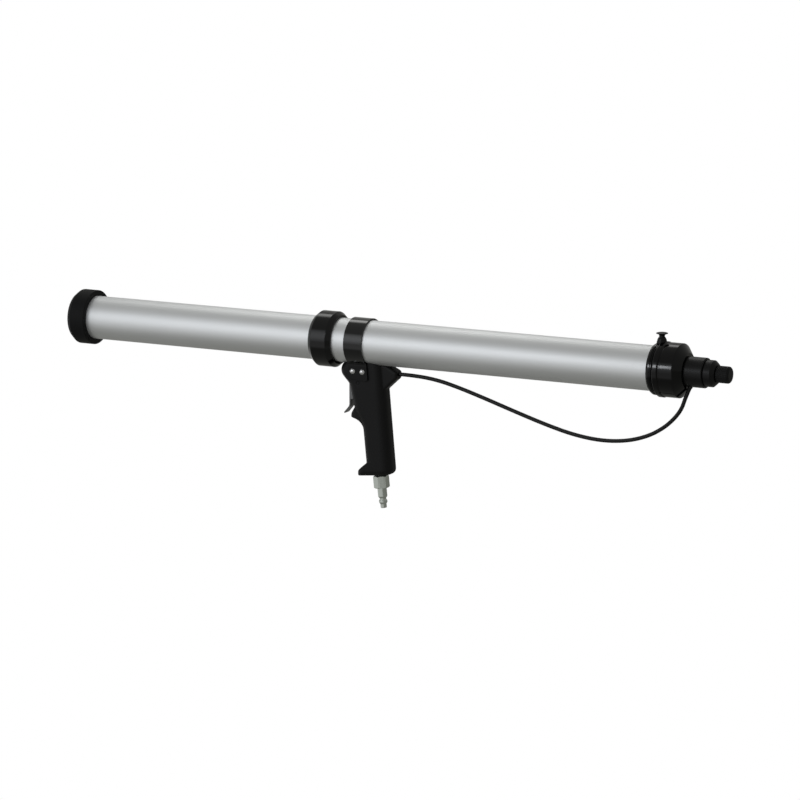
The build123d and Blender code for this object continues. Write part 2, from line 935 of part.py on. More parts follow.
def valve_body():
    """Valve cartridge in the handle: guide for the stem, flow chamber, outlet port and seat."""
    front = valve_front()
    rear = front - valve_length
    outer = valve_d / 2
    bore = stem_d / 2 + running
    outline = [
        (front, bore),
        (front, outer),
        (rear, outer),
        (rear, 3.2),
        (front - 8.0, 3.2),
        (front - 8.0, bore),
    ]
    body = Pos(0, 0, valve_z) * turned(outline)
    return body - Pos(outlet_x, 0, valve_z + 5) * Cylinder(1.5, 10)


def valve_stem():
    """Stem pushed by the trigger, with the poppet head behind the seat."""
    nose = trigger_face - trigger_sheet - 0.3
    seat = valve_front() - valve_length
    radius = stem_d / 2
    outline = [
        (nose, 0),
        (nose, 1.2),
        (nose - 0.8, radius),
        (seat - 1.0, radius),
        (seat - 1.0, 4.6),
        (seat - 3.6, 4.6),
        (seat - 3.6, 1.8),
        (seat - 6.0, 1.8),
        (seat - 6.0, 0),
    ]
    return Pos(0, 0, valve_z) * turned(outline)


def valve_seal():
    seat = valve_front() - valve_length
    ring = rod_x(seat - 0.1, seat - 1.0, 4.5) - rod_x(seat, seat - 1.1, stem_d / 2)
    return Pos(0, 0, valve_z) * ring


def valve_spring():
    length = valve_front() - valve_length - 3.6 - valve_rear
    return Pos(valve_rear, 0, valve_z) * Rot(0, 90, 0) * coil(3.1, 0.8, length, 5)


def along(plane, points):
    """Solid turned about a plane's z axis from an outline of radius and distance."""
    return plane * revolve(make_face(Plane.XZ * Polyline(*points, close=True)), Axis.Z)


def inlet_washer():
    ring = Cylinder(7.6, washer_thickness) - Cylinder(plug_thread_d / 2, 9)
    return inlet_axis() * (Pos(0, 0, washer_thickness / 2) * ring)


def air_plug():
    """Threaded hexagon with a quick-connect plug, bored through."""
    plane = inlet_axis()
    top = washer_thickness
    end = top + plug_hex_height
    hexagon = RegularPolygon(plug_flats / sqrt(3), 6, rotation=0)
    body = plane * extrude(Pos(0, 0, top) * hexagon, plug_hex_height)
    trim = [(0, top), (7.6, top), (9.0, top + 0.9), (9.0, end - 0.9), (7.6, end), (0, end)]
    body = body & along(plane, trim)
    profile = [
        (0, -11.0),
        (5.4, -11.0),
        (plug_thread_d / 2, -10.4),
        (plug_thread_d / 2, top + 1.0),
        (4.6, top + 1.0),
        (4.6, end + 8.0),
        (4.2, end + 8.6),
        (3.1, end + 10.2),
        (3.1, end + 12.6),
        (4.2, end + 13.8),
        (4.2, end + 17.4),
        (2.9, end + 19.4),
        (2.9, end + 26.2),
        (2.5, end + 26.8),
        (0, end + 26.8),
    ]
    body = body + along(plane, profile)
    return body - along(plane, [(0, -12), (2.0, -12), (2.0, end + 28), (0, end + 28)])


def hose_fitting_front():
    """Connector in the rear nose, the hose leaves from its end face."""
    inner = nose_tip + 8.0
    outer_end = nose_tip - 3.0
    outline = [
        (inner, hose_bore / 2),
        (inner, 2.5),
        (outer_end + 0.4, 2.5),
        (outer_end, 2.2),
        (outer_end, hose_bore / 2),
    ]
    return Pos(0, 0, outlet_z) * turned(outline)


def hose_fitting_rear():
    """Connector in the regulator's tilted port, the hose leaves from its end face."""
    outline = [(hose_bore / 2, -10.0), (2.9, -10.0), (2.9, -0.4), (2.5, 0.0), (hose_bore / 2, 0.0)]
    return along(port_axis(), outline)


def hose_route():
    """Way of the hose from the handle's connector to the regulator's: share of the distance, y and z."""
    port = port_axis()
    start = (nose_tip - 3.0, 0, outlet_z)
    last = port.origin + port.z_dir * 13.0
    span = port.origin.X - start[0]
    free = [
        (0.0546, 0, -36.2),
        (0.1308, 0, -39.1),
        (0.2096, 0, -46.3),
        (0.3015, 0, -56.6),
        (0.4065, 0, -69.1),
        (0.5063, 0.1, -80.3),
        (0.6011, 0.4, -89.2),
        (0.6967, 1.0, -93.2),
        (0.7855, 2.5, -90.4),
        (0.8590, 4.5, -81.9),
        (0.9126, 6.2, -70.4),
        (0.9512, 7.2, -57.6),
        (0.9777, 7.2, -44.2),
    ]
    middle = [Vector(start[0] + share * span, y, z) for share, y, z in free]
    return [Vector(*start)] + middle + [last, port.origin]


def air_hose():
    """Hose as one round tube along straight runs with an arc at every corner."""
    points = hose_route()
    radii = []
    for a, b, c in zip(points, points[1:], points[2:]):
        run = min((b - a).length, (c - b).length)
        turn = radians((b - a).get_angle(c - b))
        radii.append(0.45 * run / tan(turn / 2))
    path = FilletPolyline(*points, radius=radii)
    print("hose bend radii", [round(r, 1) for r in radii])
    print("hose runs", [round((b - a).length, 1) for a, b in zip(points, points[1:])])
    ring = Circle(hose_d / 2) - Circle(hose_bore / 2)
    hose = sweep(Plane(origin=path @ 0, z_dir=path % 0) * ring, path=path)
    print("hose length", round(path.length, 1), "volume", round(hose.volume, 1))
    print("section times length", round(ring.area * path.length, 1))
    return hose


parts = [
    front_cap,
    front_barrel,
    barrel_collar,
    coupling_ring,
    guide_head,
    guide_head_seal,
    rod_bush,
    rod_wiper,
    drive_rod,
    drive_piston,
    piston_seals,
    piston_nut,
    plunger,
    plunger_wiper,
    plunger_screw,
    rear_cylinder,
    rear_cap,
    rear_seal,
    bleed_bush,
    bleed_button,
    bleed_seal,
    bleed_spring,
    regulator_body,
    regulator_poppet,
    regulator_piston,
    regulator_seal,
    regulator_bonnet,
    regulator_knob,
    adjusting_screw,
    spring_nut,
    regulator_spring,
    handle,
    strap_band,
    strap_bolts,
    strap_nuts,
    trigger,
    trigger_pin,
    valve_body,
    valve_stem,
    valve_seal,
    valve_spring,
    inlet_washer,
    air_plug,
    hose_fitting_front,
    hose_fitting_rear,
    air_hose,
]

os.makedirs("parts", exist_ok=True)
for make in parts:
    export_step(make(), "parts/" + make.__name__ + ".step")
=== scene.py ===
"""Looks of a pneumatic caulking tool: finishes, air plug, springs, air hose, studio and camera.

Laid out as an add-on, one operator for each piece or group of like pieces, and run as a script.
"""

import json
import math

import bpy
from bpy.props import FloatProperty, FloatVectorProperty, PointerProperty
from bpy.types import Operator, Panel, PropertyGroup
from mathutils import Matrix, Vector


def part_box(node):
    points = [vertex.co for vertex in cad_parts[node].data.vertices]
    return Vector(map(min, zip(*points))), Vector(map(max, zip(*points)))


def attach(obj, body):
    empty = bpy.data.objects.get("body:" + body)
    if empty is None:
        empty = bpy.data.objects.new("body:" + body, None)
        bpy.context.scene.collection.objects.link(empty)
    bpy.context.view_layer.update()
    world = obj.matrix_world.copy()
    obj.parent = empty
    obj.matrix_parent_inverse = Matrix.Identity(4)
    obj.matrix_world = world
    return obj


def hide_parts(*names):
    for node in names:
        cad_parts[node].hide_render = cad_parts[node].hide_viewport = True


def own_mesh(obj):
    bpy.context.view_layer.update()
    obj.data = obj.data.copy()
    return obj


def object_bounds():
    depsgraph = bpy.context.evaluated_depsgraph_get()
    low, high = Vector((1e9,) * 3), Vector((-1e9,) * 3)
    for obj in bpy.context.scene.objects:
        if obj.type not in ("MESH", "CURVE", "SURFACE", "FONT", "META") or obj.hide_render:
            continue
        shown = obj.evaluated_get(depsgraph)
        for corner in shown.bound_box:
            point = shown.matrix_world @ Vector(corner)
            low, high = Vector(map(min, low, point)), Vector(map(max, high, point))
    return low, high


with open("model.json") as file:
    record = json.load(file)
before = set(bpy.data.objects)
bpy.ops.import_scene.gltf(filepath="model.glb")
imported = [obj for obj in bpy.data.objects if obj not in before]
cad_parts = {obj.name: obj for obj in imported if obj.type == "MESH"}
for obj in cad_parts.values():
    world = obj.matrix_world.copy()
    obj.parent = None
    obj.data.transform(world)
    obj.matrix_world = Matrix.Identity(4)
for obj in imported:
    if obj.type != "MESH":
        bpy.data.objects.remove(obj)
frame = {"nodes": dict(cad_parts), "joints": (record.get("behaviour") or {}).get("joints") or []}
cad_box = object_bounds()

bl_info = {
    "name": "Caulking tool looks",
    "version": (1, 0, 0),
    "blender": (4, 5, 0),
    "location": "View3D > Sidebar > Caulking tool",
    "description": "Finishes, air plug, air hose, studio light and camera of a caulking tool",
    "category": "Object",
}

# Way of the air hose in metres, from the connector in the handle to the one in the regulator.
HOSE_ROUTE = [
    (-0.4572, 0.0, -0.0362),
    (-0.4780, 0.0, -0.0362),
    (-0.5070, 0.0, -0.0391),
    (-0.5370, 0.0, -0.0463),
    (-0.5720, 0.0, -0.0566),
    (-0.6120, 0.0, -0.0691),
    (-0.6500, 0.0001, -0.0803),
    (-0.6861, 0.0004, -0.0892),
    (-0.7225, 0.0010, -0.0932),
    (-0.7563, 0.0025, -0.0904),
    (-0.7843, 0.0045, -0.0819),
    (-0.8047, 0.0062, -0.0704),
    (-0.8194, 0.0072, -0.0576),
    (-0.8295, 0.0072, -0.0442),
    (-0.83355, 0.00653, -0.03073),
    (-0.8380, 0.00399, -0.01878),
]

# Air plug in metres: middle of the handle's sole, way down along the plug, and its outline from the
# thread to the tip as radius, distance from the sole, and whether the hexagon's flats cut it there.
PLUG_SOLE = Vector((-0.4286, 0.0, -0.1633))
PLUG_WAY = Vector((-0.09932, 0.0, -0.99506))
PLUG_OUTLINE = [
    (0.0020, -0.0110, False),
    (0.0054, -0.0110, False),
    (0.0060, -0.0104, False),
    (0.0060, 0.0014, False),
    (0.0086, 0.0014, True),
    (0.0092, 0.0018, True),
    (0.0100, 0.0023, True),
    (0.0100, 0.0155, True),
    (0.0092, 0.0160, True),
    (0.0086, 0.0164, True),
    (0.0057, 0.0164, False),
    (0.0057, 0.0270, False),
    (0.0052, 0.0280, False),
    (0.0041, 0.0292, False),
    (0.0041, 0.0306, False),
    (0.0052, 0.0324, False),
    (0.0052, 0.0344, False),
    (0.00385, 0.0366, False),
    (0.00385, 0.0409, False),
    (0.0034, 0.04145, False),
    (0.0020, 0.04145, False),
]

# Facets round the plug, and the angle from which an edge of it stays sharp.
PLUG_SIDES = 72
PLUG_SHARP = math.radians(20.0)

# Hose: steps between two points of its way, and steps round a quarter of it.
HOSE_STEPS = 40
HOSE_ROUND_STEPS = 8

# Springs, the joint that presses each, the axis that it shortens along and its end that stays.
X_AXIS, Z_AXIS = 0, 2
LOW_END, HIGH_END = 0, 1
SPRINGS = [
    ("bleed_spring", "bleed_press", Z_AXIS, LOW_END),
    ("valve_spring", "valve_stem_slide", X_AXIS, LOW_END),
    ("regulator_spring", "spring_nut_slide", X_AXIS, HIGH_END),
]

# Clamp strap in metres: heights between which its polished band turns into matt ears.
STRAP_EAR_TOP = -0.030
STRAP_BAND_FOOT = -0.016

# Handle: rounds of smoothing over its skin, and how far each goes.
SKIN_ROUNDS = 14
SKIN_STEP = 0.5

# Textures: grains in a metre, and the depth of fine relief in metres.
DRAWN_LINES = 2600.0
TUBE_GRAIN = 5200.0
TUBE_CLOUD = 16.0
MACHINING_MARKS = 1800.0
METAL_CLOUD = 60.0
MOULD_PATCHES = 45.0
HANDLED_PATCHES = 14.0
GLOSS_WAVES = 90.0
RUB_MARKS = 1400.0
WORN_PATCHES = 70.0
HOSE_WAVES = 25.0
HOSE_DUST = 260.0
FINE_RELIEF = 0.00003
HOSE_RELIEF = 0.0001

# Edges: samples of their rounding, and the turn of the normal at which wear starts and is full.
EDGE_SAMPLES = 6
WEAR_FROM = 0.02
WEAR_FULL = 0.20

# Studio: shares of white that floor and room show to the camera or in reflections, and sizes in metres.
FLOOR_WHITE_NEAR = 0.7
FLOOR_WHITE_MIRRORED = 0.6
FLOOR_DARK_FROM = -4.0
FLOOR_REACH = 200.0
ROOM_LEVEL = 0.32
ROOM_WHITE_MIRRORED = 0.1
SENSOR_WIDTH_MM = 36.0
WHITE = (1.0, 1.0, 1.0, 1.0)

# Factor that brings the middle of a softbox, where both products are a quarter, to 1.
SOFT_PEAK = 16.0

# Softboxes: way and distance from the point that each faces, size in metres, brightness of the middle.
KEY_BOX = {"way": (0.49, 0.83, 0.29), "distance": 1.5, "width": 2.0, "height": 1.2, "level": 1.65}
STRIP_BOX = {"way": (0.389, 0.871, 0.30), "distance": 1.4, "width": 0.08, "height": 0.34, "level": 30.0}
TOP_BOX = {"way": (0.32, -0.51, 0.74), "distance": 1.25, "width": 1.5, "height": 0.42, "level": 3.2}

# Distance in metres from the tool's front to the middle of the rear cap, which the strip lights.
REAR_CAP_SETBACK = 0.81


def colour_property(name, words, value):
    """Colour that a user may change."""
    return FloatVectorProperty(
        name=name, description=words, subtype="COLOR", size=3, min=0.0, max=1.0, default=value
    )


def length_property(name, words, value):
    """Length that a user may change, in metres."""
    return FloatProperty(name=name, description=words, unit="LENGTH", default=value)


def angle_property(name, words, degrees):
    """Angle that a user may change, given in degrees."""
    return FloatProperty(name=name, description=words, subtype="ANGLE", default=math.radians(degrees))


class FinishSettings(PropertyGroup):
    """Colours of the tool's finishes and of the studio."""

    tube: colour_property("Tube", "Satin anodised aluminium of both tubes", (0.69, 0.70, 0.71))
    turned: colour_property("Turned metal", "Turned aluminium inside the tool", (0.62, 0.62, 0.63))
    nylon: colour_property("Nylon", "Black nylon of handle and front cap", (0.005, 0.005, 0.0054))
    gloss: colour_property("Gloss plastic", "Black glossy rings and rear cap", (0.002, 0.002, 0.0023))
    paint: colour_property("Strap paint", "Black paint of the clamp strap", (0.003, 0.003, 0.0034))
    regulator: colour_property("Regulator", "Black anodised regulator", (0.005, 0.005, 0.0055))
    steel: colour_property("Steel", "Bright bolts and rod", (0.62, 0.62, 0.63))
    black_steel: colour_property("Blackened steel", "Blackened trigger pin", (0.020, 0.020, 0.021))
    trigger: colour_property("Trigger", "Zinc plated trigger sheet", (0.15, 0.15, 0.154))
    nickel: colour_property("Nickel", "Plated air plug", (0.54, 0.575, 0.535))
    brass: colour_property("Brass", "Bushes and valve parts", (0.62, 0.43, 0.16))
    rubber: colour_property("Rubber", "Seals and wipers", (0.012, 0.012, 0.012))
    hose: colour_property("Hose", "Black plastic hose", (0.004, 0.004, 0.0045))
    plunger: colour_property("Plunger", "Pale plunger plate", (0.66, 0.66, 0.63))
    floor: colour_property("Floor", "Pale studio floor", (0.76, 0.76, 0.735))
    key_light: colour_property("Key light", "Cool light of the softbox", (0.93, 0.96, 1.0))
    top_light: colour_property("Top light", "Neutral light from above", (1.0, 1.0, 0.98))
    room_light: colour_property("Room", "Soft light from all round", (1.0, 1.0, 0.95))


class SizeSettings(PropertyGroup):
    """Sizes that scene pieces take apart from the frame."""

    hose: length_property("Hose", "Outside diameter of the air hose", 0.0048)
    plug_flats: length_property("Plug hexagon", "Width across the flats of the air plug", 0.017)
    grain: length_property("Moulded grain", "Grain of the moulded nylon", 0.0009)
    skin: length_property("Skin", "Cell of the handle's smooth moulded skin", 0.0007)
    edge: length_property("Edge", "Rounding of edges that catches the light", 0.0005)
    floor_drop: length_property("Floor drop", "Floor below the tool's lowest point", 2.5)
    pale_to: length_property("Pale to", "Distance to which the floor shows its own colour", 4.2)
    white_from: length_property("White from", "Distance beyond which the floor shows white", 6.6)


class CameraSettings(PropertyGroup):
    """The camera of the photograph."""

    azimuth: angle_property("Azimuth", "Camera's way round the tool", 207.0)
    elevation: angle_property("Elevation", "Camera's height above the horizon", 11.17)
    distance: length_property("Distance", "Camera to the point it looks at", 4.869)
    lens: FloatProperty(name="Lens", description="Focal length", unit="CAMERA", default=180.0)
    aim: FloatVectorProperty(
        name="Aim",
        description="Point the camera looks at",
        subtype="XYZ",
        unit="LENGTH",
        default=(-0.4550, 0.0, -0.0681),
    )


class ToolSettings(PropertyGroup):
    """All settings of the scene."""

    finish: PointerProperty(type=FinishSettings)
    size: PointerProperty(type=SizeSettings)
    camera: PointerProperty(type=CameraSettings)


def settings():
    """Settings of the scene at hand."""
    return bpy.context.scene.caulking_tool


class Value:
    """Output of a shader node that takes part in arithmetic."""

    def __init__(self, graph, socket):
        self.graph = graph
        self.socket = socket

    def math(self, operation, first, second):
        return self.graph.node("ShaderNodeMath", {"operation": operation}, {0: first, 1: second})

    def __add__(self, other):
        return self.math("ADD", self, other)

    def __radd__(self, other):
        return self.math("ADD", other, self)

    def __sub__(self, other):
        return self.math("SUBTRACT", self, other)

    def __rsub__(self, other):
        return self.math("SUBTRACT", other, self)

    def __mul__(self, other):
        return self.math("MULTIPLY", self, other)

    def __rmul__(self, other):
        return self.math("MULTIPLY", other, self)


class Graph:
    """Node tree of one material or of the world."""

    def __init__(self, tree):
        self.tree = tree
        tree.nodes.clear()

    def node(self, kind, options=None, inputs=None, out=0):
        """New node: its options first, then values or links of its sockets. Returns one output."""
        made = self.tree.nodes.new(kind)
        for key, value in (options or {}).items():
            if key == "stops":
                self.set_stops(made.color_ramp, value)
            else:
                setattr(made, key, value)
        for key, value in (inputs or {}).items():
            if isinstance(value, Value):
                self.tree.links.new(value.socket, made.inputs[key])
            else:
                made.inputs[key].default_value = value
        return Value(self, made.outputs[out]) if made.outputs else None

    def set_stops(self, ramp, stops):
        """Grey levels of a colour ramp, as position and level."""
        while len(ramp.elements) < len(stops):
            ramp.elements.new(1.0)
        for element, (position, level) in zip(ramp.elements, stops):
            element.position = position
            element.color = (level, level, level, 1.0)

    def place(self, stretch=(1.0, 1.0, 1.0)):
        """Point in the tool's own frame, in metres, with its axes stretched."""
        point = self.node("ShaderNodeTexCoord", out="Object")
        return self.node("ShaderNodeVectorMath", {"operation": "MULTIPLY"}, {0: point, 1: stretch})

    def noise(self, scale, detail, stretch=(1.0, 1.0, 1.0)):
        """Noise from 0 to 1 with about scale grains in a metre."""
        inputs = {"Vector": self.place(stretch), "Scale": scale, "Detail": detail}
        return self.node("ShaderNodeTexNoise", None, inputs, "Fac")

    def ramp(self, value, low, high):
        """0 below low, 1 above high."""
        return self.node("ShaderNodeValToRGB", {"stops": [(low, 0.0), (high, 1.0)]}, {"Fac": value})

    def rise(self, value, low, high):
        """Smooth step from 0 at low to 1 at high, for values of any size."""
        inputs = {"Value": value, "From Min": low, "From Max": high}
        return self.node("ShaderNodeMapRange", {"interpolation_type": "SMOOTHSTEP"}, inputs, "Result")

    def tint(self, colour, factor, other):
        """Colour that turns to the other one as factor goes to 1."""
        first = colour if isinstance(colour, Value) else (*colour, 1.0)
        inputs = {0: factor, 6: first, 7: (*other, 1.0)}
        return self.node("ShaderNodeMix", {"data_type": "RGBA"}, inputs, 2)

    def rounded(self, radius):
        """Normal with the edges rounded off."""
        return self.node("ShaderNodeBevel", {"samples": EDGE_SAMPLES}, {"Radius": radius})

    def worn_edges(self, radius):
        """1 along the edges of the mesh, 0 away from them."""
        flat = self.node("ShaderNodeNewGeometry", out="Normal")
        pair = {0: self.rounded(radius), 1: flat}
        same = self.node("ShaderNodeVectorMath", {"operation": "DOT_PRODUCT"}, pair, "Value")
        return self.ramp(1.0 - same, WEAR_FROM, WEAR_FULL)

    def bump(self, height, distance, strength, edge):
        """Normal with fine relief and with rounded edges."""
        inputs = {"Height": height, "Distance": distance, "Strength": strength}
        return self.node("ShaderNodeBump", None, {**inputs, "Normal": self.rounded(edge)})

    def surface(self, **inputs):
        """Principled surface to the output. Names use underscores for spaces."""
        sockets = {key.replace("_", " "): value for key, value in inputs.items()}
        for key, value in sockets.items():
            if key == "Base Color" and not isinstance(value, Value):
                sockets[key] = (*value, 1.0)
        shader = self.node("ShaderNodeBsdfPrincipled", None, sockets)
        self.node("ShaderNodeOutputMaterial", None, {"Surface": shader})


def new_material(name):
    """Material and its empty node graph."""
    made = bpy.data.materials.new(name)
    made.use_nodes = True
    return made, Graph(made.node_tree)


def lighter(colour, factor):
    """Colour times a factor, darker if that is below 1."""
    return tuple(min(1.0, channel * factor) for channel in colour)


def anodised_tube(name, colour):
    """Satin anodised aluminium: fine drawn lines along the tube and a faint cloud in its sheen."""
    made, graph = new_material(name)
    edge = settings().size.edge
    lines = graph.noise(DRAWN_LINES, 2.0, (0.012, 1.0, 1.0))
    cloud = graph.noise(TUBE_CLOUD, 3.0, (0.5, 1.0, 1.0))
    grain = graph.noise(TUBE_GRAIN, 1.0)
    graph.surface(
        Base_Color=graph.tint(lighter(colour, 0.95), cloud * 0.5 + lines * 0.5, lighter(colour, 1.05)),
        Metallic=0.94,
        Roughness=0.47 + 0.08 * lines + 0.05 * cloud,
        Normal=graph.bump(lines * 0.6 + grain * 0.4, FINE_RELIEF, 0.5, edge),
    )
    return made


def metal(name, colour, roughness, streak=(1.0, 1.0, 1.0)):
    """Bare metal with fine machining marks and edges rubbed bright."""
    made, graph = new_material(name)
    edge = settings().size.edge
    marks = graph.noise(MACHINING_MARKS, 3.0, streak)
    cloud = graph.noise(METAL_CLOUD, 3.0)
    body = graph.tint(lighter(colour, 0.86), cloud * 0.6 + marks * 0.4, lighter(colour, 1.06))
    graph.surface(
        Base_Color=graph.tint(body, graph.worn_edges(edge) * 0.5, lighter(colour, 1.3)),
        Metallic=1.0,
        Roughness=roughness + 0.10 * marks + 0.06 * cloud,
        Normal=graph.bump(marks, FINE_RELIEF, 0.35, edge),
    )
    return made


def moulded(name, colour, roughness, grain, depth, level, dust=0.25):
    """Moulded plastic: stipple of the mould, sheen that varies, faint dust, edges rubbed paler."""
    made, graph = new_material(name)
    edge = settings().size.edge
    stipple = graph.noise(1.0 / grain, 2.0)
    patch = graph.noise(MOULD_PATCHES, 4.0)
    rubbed = graph.ramp(graph.noise(HANDLED_PATCHES, 3.0), 0.45, 0.75)
    worn = graph.worn_edges(edge * 2.0) * graph.ramp(patch, 0.35, 0.6)
    body = graph.tint(colour, patch * dust, lighter(colour, 2.6))
    graph.surface(
        Base_Color=graph.tint(body, worn * 0.6, lighter(colour, 3.4)),
        Roughness=roughness + 0.10 * stipple - 0.07 * rubbed,
        Specular_IOR_Level=level,
        Normal=graph.bump(stipple, depth, 0.7, edge * 2.0),
    )
    return made


def glossy(name, colour, roughness, level):
    """Smooth black surface: slow waves in the gloss, fine rub marks, worn edges."""
    made, graph = new_material(name)
    edge = settings().size.edge
    waves = graph.noise(GLOSS_WAVES, 1.0)
    marks = graph.ramp(graph.noise(RUB_MARKS, 2.0), 0.55, 0.75)
    worn = graph.worn_edges(edge) * graph.ramp(graph.noise(WORN_PATCHES, 4.0), 0.4, 0.65)
    body = graph.tint(colour, waves * 0.3, lighter(colour, 1.8))
    graph.surface(
        Base_Color=graph.tint(body, worn * 0.6, lighter(colour, 6.0)),
        Roughness=roughness + 0.05 * marks + 0.03 * waves + 0.12 * worn,
        Specular_IOR_Level=level,
        Normal=graph.bump(waves, FINE_RELIEF, 0.4, edge),
    )
    return made


def clamp_paint(name, colour):
    """Black paint: polished on the band, matt from there down on the ears, with worn edges."""
    made, graph = new_material(name)
    edge = settings().size.edge
    height = graph.node("ShaderNodeSeparateXYZ", None, {"Vector": graph.place()}, "Z")
    band = graph.rise(height, STRAP_EAR_TOP, STRAP_BAND_FOOT)
    waves = graph.noise(GLOSS_WAVES, 1.0)
    marks = graph.ramp(graph.noise(RUB_MARKS, 2.0, (1.0, 0.1, 0.1)), 0.55, 0.75)
    worn = graph.worn_edges(edge) * graph.ramp(graph.noise(WORN_PATCHES, 4.0), 0.4, 0.65)
    body = graph.tint(colour, waves * 0.3, lighter(colour, 1.8))
    graph.surface(
        Base_Color=graph.tint(body, worn * 0.6, lighter(colour, 6.0)),
        Roughness=0.30 - 0.18 * band + 0.05 * marks + 0.12 * worn,
        Specular_IOR_Level=0.16,
        Coat_Weight=band * 0.58 - 0.08 * marks,
        Coat_Roughness=0.05,
        Normal=graph.bump(waves, FINE_RELIEF, 0.4, edge),
    )
    return made


def extruded(name, colour, roughness, level):
    """Extruded black hose: slow change of gloss along it and a little dust."""
    made, graph = new_material(name)
    slow = graph.noise(HOSE_WAVES, 2.0)
    dust = graph.ramp(graph.noise(HOSE_DUST, 2.0), 0.5, 0.8)
    relief = {"Height": slow, "Distance": HOSE_RELIEF, "Strength": 0.3}
    graph.surface(
        Base_Color=graph.tint(colour, dust * 0.25, lighter(colour, 2.5)),
        Roughness=roughness + 0.08 * slow + 0.04 * dust,
        Specular_IOR_Level=level,
        Normal=graph.node("ShaderNodeBump", None, relief),
    )
    return made


def seen_directly(graph):
    """1 for rays from the camera and for rays through clear material."""
    camera = graph.node("ShaderNodeLightPath", out="Is Camera Ray")
    through = graph.node("ShaderNodeLightPath", out="Is Transmission Ray")
    return graph.node("ShaderNodeMath", {"operation": "MAXIMUM"}, {0: camera, 1: through})


def reflected(graph):
    """1 for rays from a glossy surface."""
    return graph.node("ShaderNodeLightPath", out="Is Glossy Ray")


def studio_floor(name, colour, centre, start, end, bright):
    """Pale floor that keeps the tool's shadow. Further out it turns to white when seen or reflected.

    Reflections show the white on the bright side alone, so round metal has a light and a dark flank.
    From below the floor is clear, so that the tool shows from there too.
    """
    made, graph = new_material(name)
    plain = graph.node("ShaderNodeBsdfDiffuse", None, {"Color": (*colour, 1.0)})
    white = graph.node("ShaderNodeEmission", None, {"Color": WHITE, "Strength": 1.0})
    clear = graph.node("ShaderNodeBsdfTransparent")
    spot = graph.place()
    away = graph.node("ShaderNodeVectorMath", {"operation": "DISTANCE"}, {0: spot, 1: centre}, "Value")
    pair = {0: spot, 1: bright}
    sideways = graph.node("ShaderNodeVectorMath", {"operation": "DOT_PRODUCT"}, pair, "Value")
    side = graph.rise(sideways - bright.dot(Vector(centre)), FLOOR_DARK_FROM, 0.0)
    far = graph.rise(away, start, end)
    direct = FLOOR_WHITE_NEAR + (1.0 - FLOOR_WHITE_NEAR) * far
    mirrored = FLOOR_WHITE_MIRRORED * side * far
    shown = seen_directly(graph) * direct + reflected(graph) * mirrored
    mixed = graph.node("ShaderNodeMixShader", None, {0: shown, 1: plain, 2: white})
    below = graph.node("ShaderNodeNewGeometry", out="Backfacing")
    one_sided = graph.node("ShaderNodeMixShader", None, {0: below, 1: mixed, 2: clear})
    graph.node("ShaderNodeOutputMaterial", None, {"Surface": one_sided})
    return made


def finish(nodes, material):
    """Gives CAD nodes a material."""
    for name in nodes:
        mesh = frame["nodes"][name].data
        mesh.materials.clear()
        mesh.materials.append(material)


def soften(node, cell):
    """Rounds off the edges of a moulded CAD node, as its mould does."""
    piece = frame["nodes"][node]
    skin = piece.modifiers.new("skin", "REMESH")
    skin.mode = "VOXEL"
    skin.voxel_size = cell
    skin.use_smooth_shade = True
    rounding = piece.modifiers.new("rounding", "SMOOTH")
    rounding.factor = SKIN_STEP
    rounding.iterations = SKIN_ROUNDS


def in_scene(obj):
    """Links a new object to the scene."""
    bpy.context.scene.collection.objects.link(obj)
    return obj


class CAULK_OT_tubes(Operator):
    """Finish both aluminium tubes."""

    bl_idname = "caulk.tubes"
    bl_label = "Tubes"

    def execute(self, context):
        colours = settings().finish
        finish(["front_barrel", "rear_cylinder"], anodised_tube("tube_satin", colours.tube))
        return {"FINISHED"}


class CAULK_OT_rings(Operator):
    """Finish the front cap, the union ring and the rear cap."""

    bl_idname = "caulk.rings"
    bl_label = "Caps and ring"

    def execute(self, context):
        colours = settings().finish
        grain = settings().size.grain
        matte = moulded(
            "cap_matte", colours.nylon, roughness=0.52, grain=grain, depth=0.00012, level=0.11
        )
        finish(["front_cap"], matte)
        finish(["coupling_ring"], glossy("ring_gloss", colours.gloss, roughness=0.10, level=0.30))
        finish(["rear_cap"], glossy("rear_gloss", colours.gloss, roughness=0.10, level=0.22))
        return {"FINISHED"}


class CAULK_OT_regulator(Operator):
    """Finish the regulator, its knob and the air release button."""

    bl_idname = "caulk.regulator"
    bl_label = "Regulator"

    def execute(self, context):
        colours = settings().finish
        grain = settings().size.grain
        satin = glossy("regulator_satin", colours.regulator, roughness=0.36, level=0.18)
        finish(["regulator_body", "regulator_bonnet", "bleed_bush", "bleed_button"], satin)
        matte = moulded(
            "knob_matte", colours.nylon, roughness=0.50, grain=grain * 0.8, depth=0.0001, level=0.16
        )
        finish(["regulator_knob"], matte)
        return {"FINISHED"}


class CAULK_OT_handle(Operator):
    """Finish the handle, its strap and its bolts."""

    bl_idname = "caulk.handle"
    bl_label = "Handle and strap"

    def execute(self, context):
        colours = settings().finish
        grain = settings().size.grain
        nylon = moulded(
            "handle_nylon", colours.nylon, roughness=0.46, grain=grain, depth=0.00008, level=0.16
        )
        finish(["handle"], nylon)
        soften("handle", settings().size.skin)
        finish(["strap_band"], clamp_paint("strap_paint", colours.paint))
        finish(["strap_bolts", "strap_nuts"], metal("bolt_steel", colours.steel, roughness=0.16))
        finish(["trigger_pin"], metal("pin_black", colours.black_steel, roughness=0.35))
        zinc = metal("trigger_zinc", colours.trigger, roughness=0.30, streak=(1.0, 1.0, 0.08))
        finish(["trigger"], zinc)
        return {"FINISHED"}


def hexagon_radius(flats, angle):
    """Radius of a hexagon at an angle from one of its corners."""
    sixth = math.pi / 3
    return flats / 2 / math.cos(angle % sixth - sixth / 2)


